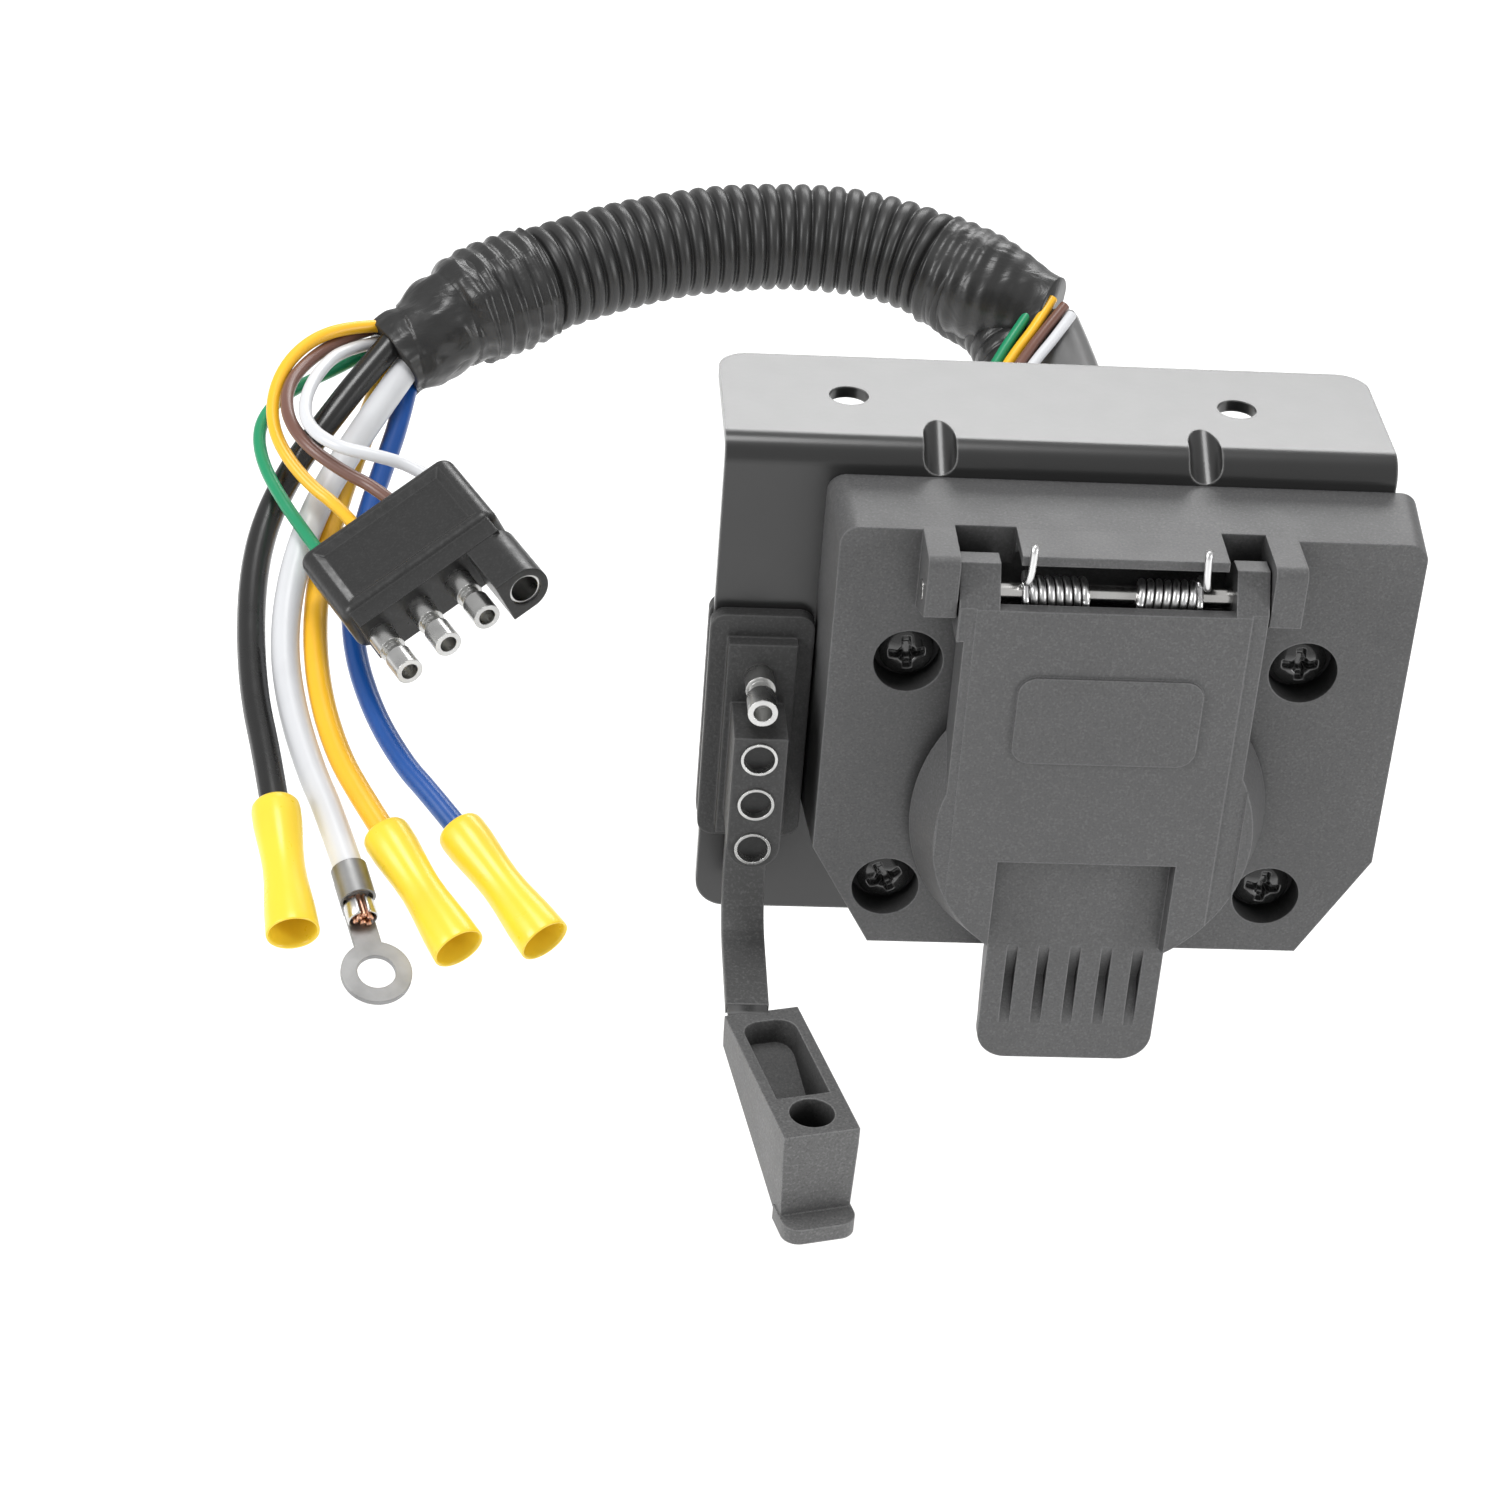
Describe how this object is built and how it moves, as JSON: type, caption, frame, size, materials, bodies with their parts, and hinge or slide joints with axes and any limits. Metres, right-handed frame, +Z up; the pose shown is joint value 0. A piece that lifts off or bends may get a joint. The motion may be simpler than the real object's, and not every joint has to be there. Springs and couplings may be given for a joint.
{
  "type": "trailer wiring connector",
  "caption": "Bracket-mounted trailer socket: round socket with spring lid beside a flat connector with dust cap, and a loom harness with crimp terminals and a flat plug.",
  "frame": {"origin": "midway between the two bolt holes, on the top face of the bracket's flange", "axes": "+Z up out of the flange, +Y to the back where the harness leaves, +X to the right seen from the lid's side"},
  "size_m": [0.1913, 0.2223, 0.1062],
  "materials": {
    "bracket_black": "satin black powder coat",
    "housing_plastic": "fine moulded grain",
    "bright_steel": "bright, lightly worn",
    "spring_steel": "bright wire",
    "black_rubber": "matte",
    "contact_plastic": "smooth moulded",
    "brass_contacts": "satin",
    "black_screws": "glossy black",
    "zinc_steel": "zinc plated",
    "boot_rubber": "granular matte",
    "cap_rubber": "matte",
    "loom_plastic": "corrugated, semi-gloss",
    "jacket_vinyl": "satin vinyl",
    "tape_vinyl": "wrinkled semi-gloss tape",
    "insulation_black": "satin vinyl",
    "insulation_white": "satin vinyl",
    "insulation_yellow": "satin vinyl",
    "insulation_blue": "satin vinyl",
    "insulation_brown": "satin vinyl",
    "insulation_green": "satin vinyl",
    "sleeve_yellow": "smooth vinyl",
    "tinned_metal": "tinned, satin",
    "copper": "bare strands",
    "plug_rubber": "smooth satin"
  },
  "bodies": {
    "bracket": {"mounting_bracket": "bracket_black", "socket_housing": "housing_plastic", "hinge_pin": "bright_steel", "lid_spring_left": "spring_steel", "lid_spring_right": "spring_steel", "terminal_insert": "contact_plastic", "socket_blades": "brass_contacts", "center_contact": "brass_contacts", "rear_cover": "black_rubber", "housing_screws": "black_screws", "housing_nuts": "zinc_steel", "four_flat_boot": "boot_rubber", "four_flat_pin": "tinned_metal", "four_flat_sockets": "tinned_metal", "loom": "loom_plastic", "cable_jacket": "jacket_vinyl", "tape_wrap": "tape_vinyl", "wire_black": "insulation_black", "wire_white": "insulation_white", "wire_yellow": "insulation_yellow", "wire_blue": "insulation_blue", "plug_lead_yellow": "insulation_yellow", "plug_lead_brown": "insulation_brown", "plug_lead_green": "insulation_green", "plug_lead_white": "insulation_white", "feed_lead_yellow": "insulation_yellow", "feed_lead_brown": "insulation_brown", "feed_lead_green": "insulation_green", "feed_lead_white": "insulation_white", "butt_connector_black": "sleeve_yellow", "butt_connector_yellow": "sleeve_yellow", "butt_connector_blue": "sleeve_yellow", "butt_barrels": "tinned_metal", "ring_terminal": "tinned_metal", "copper_strands": "copper", "trailer_plug": "plug_rubber", "plug_pins": "tinned_metal", "plug_socket": "tinned_metal"},
    "lid": {"spring_lid": "housing_plastic", "lid_gasket": "black_rubber"},
    "strap": {"cap_strap": "boot_rubber"},
    "cap": {"dust_cap": "cap_rubber"}
  },
  "joints": [
    {"name": "lid_hinge", "type": "hinge", "parent": "bracket", "child": "lid", "pos_m": [0.0083, -0.037, -0.0142], "axis": [-1, 0, 0], "range_deg": [0, 95], "stiffness_Nm_per_rad": 0.06, "springref_deg": -34.38, "deforming": ["lid_spring_left", "lid_spring_right"]},
    {"name": "strap_bend", "type": "hinge", "parent": "bracket", "child": "strap", "pos_m": [-0.0444, -0.0209, -0.0704], "axis": [-1, 0, 0], "range_deg": [0, 25]},
    {"name": "cap_swing", "type": "hinge", "parent": "strap", "child": "cap", "pos_m": [-0.0444, -0.0465, -0.0886], "axis": [-1, 0, 0], "range_deg": [-20, 60]}
  ]
}
